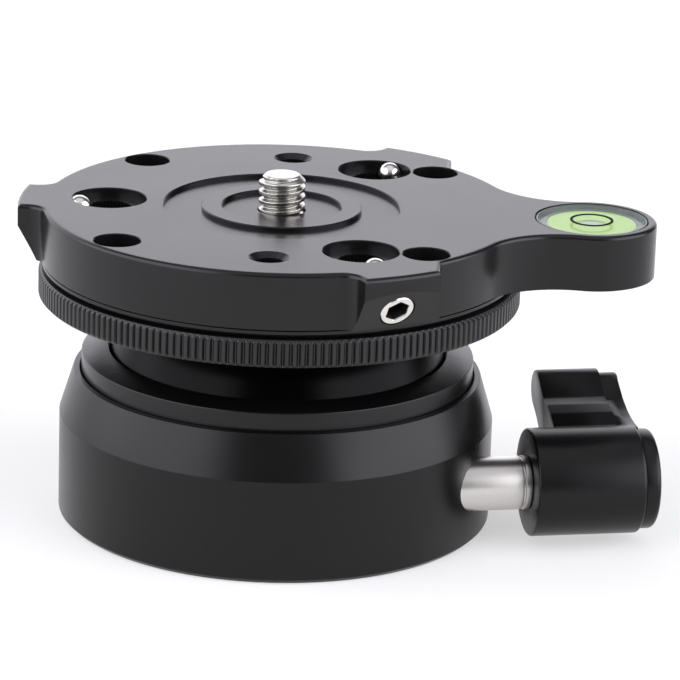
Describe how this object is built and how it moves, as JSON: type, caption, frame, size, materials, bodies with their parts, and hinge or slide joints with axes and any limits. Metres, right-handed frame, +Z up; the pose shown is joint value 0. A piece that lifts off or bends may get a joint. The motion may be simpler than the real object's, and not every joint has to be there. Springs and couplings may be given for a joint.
{
  "type": "leveling base",
  "caption": "Tripod leveling base: a lockable ball in a round base tilts and turns a camera plate with a threaded stud, edge clamp screws and a bubble level on an arm.",
  "frame": {"origin": "centre of the tripod thread at the underside of the base", "axes": "+Z up along the base axis, +X along the level arm of the plate at rest, +Y to the far side of the picture"},
  "size_m": [0.0893, 0.067, 0.0485],
  "materials": {
    "black_anodised": "satin black anodised",
    "knurled_black": "black anodised straight knurl",
    "collar_grey": "satin dark grey anodised",
    "polished_black": "gloss black anodised",
    "plate_grey": "fine blasted dark grey anodised",
    "plain_aluminium": "machined",
    "steel": "bright stainless",
    "black_steel": "black oxide",
    "brass": "machined",
    "white_plastic": "low friction polymer",
    "level_rim": "satin",
    "level_fluid": "clear green liquid",
    "level_air": "air bubble",
    "level_lens": "clear acrylic",
    "black_mark": "printed circle"
  },
  "bodies": {
    "base": {"base_shell": "black_anodised", "tripod_bush": "steel", "brake_ring": "brass", "brake_ring_pin": "steel", "retaining_collar": "collar_grey"},
    "liner": {"friction_liner": "white_plastic"},
    "ball": {"ball": "polished_black", "pan_cap": "plain_aluminium", "pan_cap_screw": "black_steel", "lower_pan_washer": "white_plastic", "upper_pan_washer": "white_plastic"},
    "plate": {"top_plate": "plate_grey", "pan_retainer": "plain_aluminium", "plate_screws": "black_steel", "camera_stud": "steel", "level_housing": "level_rim", "level_fluid": "level_fluid", "level_bubble": "level_air", "level_circle": "black_mark", "level_lens": "level_lens"},
    "pan_ring": {"pan_lock_ring": "knurled_black"},
    "clamp_left": {"clamp_screw_left": "steel"},
    "clamp_rear": {"clamp_screw_rear": "steel"},
    "clamp_front": {"clamp_screw_front": "steel"},
    "pad": {"thrust_pad": "brass"},
    "knob": {"lock_shaft": "steel", "knob_body": "black_anodised", "knob_screw": "black_steel", "knob_end_cap": "black_anodised"}
  },
  "joints": [
    {"name": "tilt_direction", "type": "hinge", "parent": "base", "child": "liner", "pos_m": [0, 0, 0.0164], "axis": [0, 0, 1], "continuous": true},
    {"name": "ball_tilt", "type": "hinge", "parent": "liner", "child": "ball", "pos_m": [0, 0, 0.0164], "axis": [0, 1, 0], "range_deg": [-15, 15]},
    {"name": "plate_pan", "type": "hinge", "parent": "ball", "child": "plate", "pos_m": [0, 0, 0.0384], "axis": [0, 0, 1], "continuous": true},
    {"name": "pan_lock_turn", "type": "hinge", "parent": "ball", "child": "pan_ring", "pos_m": [0, 0, 0.033], "axis": [0, 0, 1], "range_deg": [0, 60]},
    {"name": "clamp_left_travel", "type": "slide", "parent": "plate", "child": "clamp_left", "axis": [0.8704, 0, 0.4924], "range_m": [-0.001, 0.002]},
    {"name": "clamp_rear_travel", "type": "slide", "parent": "plate", "child": "clamp_rear", "axis": [-0.4352, -0.7538, 0.4924], "range_m": [-0.001, 0.002]},
    {"name": "clamp_front_travel", "type": "slide", "parent": "plate", "child": "clamp_front", "axis": [-0.4352, 0.7538, 0.4924], "range_m": [-0.001, 0.002]},
    {"name": "pad_push", "type": "slide", "parent": "base", "child": "pad", "axis": [-0.9732, -0.23, 0], "range_m": [0, 0.000446]},
    {"name": "lock_knob_turn", "type": "hinge", "parent": "pad", "child": "knob", "pos_m": [0.04272, -0.00686, 0.0085], "axis": [-0.9732, -0.23, 0], "range_deg": [0, 150]}
  ],
  "couplings": [
    {"joint": "pad_push", "follows": "lock_knob_turn", "m_per_rad": 0.00015915}
  ]
}
